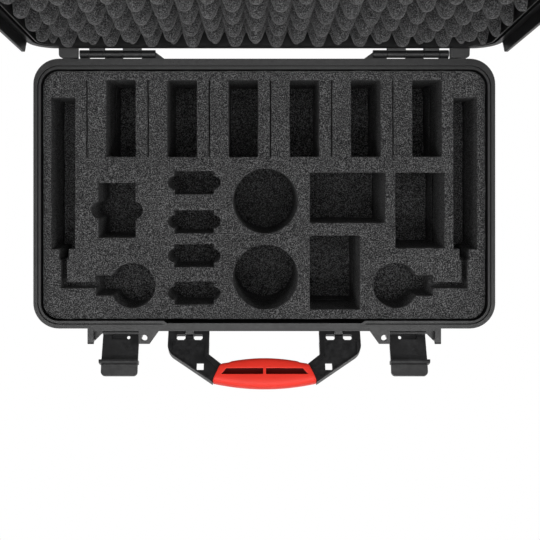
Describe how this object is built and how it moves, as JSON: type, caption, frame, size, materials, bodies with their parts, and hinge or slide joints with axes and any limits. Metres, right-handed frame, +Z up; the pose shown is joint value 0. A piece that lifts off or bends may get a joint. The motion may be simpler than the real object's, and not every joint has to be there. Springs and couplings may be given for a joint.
{
  "type": "battery case",
  "caption": "Hard carrying case with a hinged lid, latches and a folding handle, holding cut foam with pockets below and egg-crate foam in the lid.",
  "frame": {"origin": "centre of the flat face that the base stands on", "axes": "+X along the case, +Y from the handle to the hinges, +Z up"},
  "size_m": [0.5294, 0.4715, 0.455],
  "materials": {
    "shell": "fine moulded texture",
    "foam": "open-cell foam",
    "lid_foam": "egg-crate foam",
    "seal": "smooth",
    "fitting": "satin",
    "grip": "soft satin",
    "pin": "drawn"
  },
  "bodies": {
    "base": {"base_shell": "shell", "foam_top_layer": "foam", "foam_mid_layer": "foam", "foam_bottom_pad": "foam", "hinge_pin_left": "pin", "hinge_pin_right": "pin", "latch_pin_left": "pin", "latch_pin_right": "pin", "handle_pin_left": "pin", "handle_pin_right": "pin", "valve_body": "fitting", "valve_seal": "seal", "valve_cap": "fitting"},
    "lid": {"lid_shell": "shell", "lid_foam": "lid_foam", "lid_seal": "seal"},
    "latch_left": {"latch_lever_left": "fitting"},
    "latch_right": {"latch_lever_right": "fitting"},
    "handle": {"handle_frame": "fitting", "handle_grip": "grip"}
  },
  "joints": [
    {"name": "lid_hinge", "type": "hinge", "parent": "base", "child": "lid", "pos_m": [0, 0.1583, 0.1293], "axis": [1, 0, 0], "range_deg": [0, 96.3]},
    {"name": "latch_left_hinge", "type": "hinge", "parent": "base", "child": "latch_left", "pos_m": [-0.1632, -0.1595, 0.121], "axis": [-1, 0, 0], "range_deg": [0, 65]},
    {"name": "latch_right_hinge", "type": "hinge", "parent": "base", "child": "latch_right", "pos_m": [0.1632, -0.1595, 0.121], "axis": [-1, 0, 0], "range_deg": [0, 65]},
    {"name": "handle_hinge", "type": "hinge", "parent": "base", "child": "handle", "pos_m": [0, -0.1592, 0.127], "axis": [1, 0, 0], "range_deg": [-12, 120]}
  ]
}
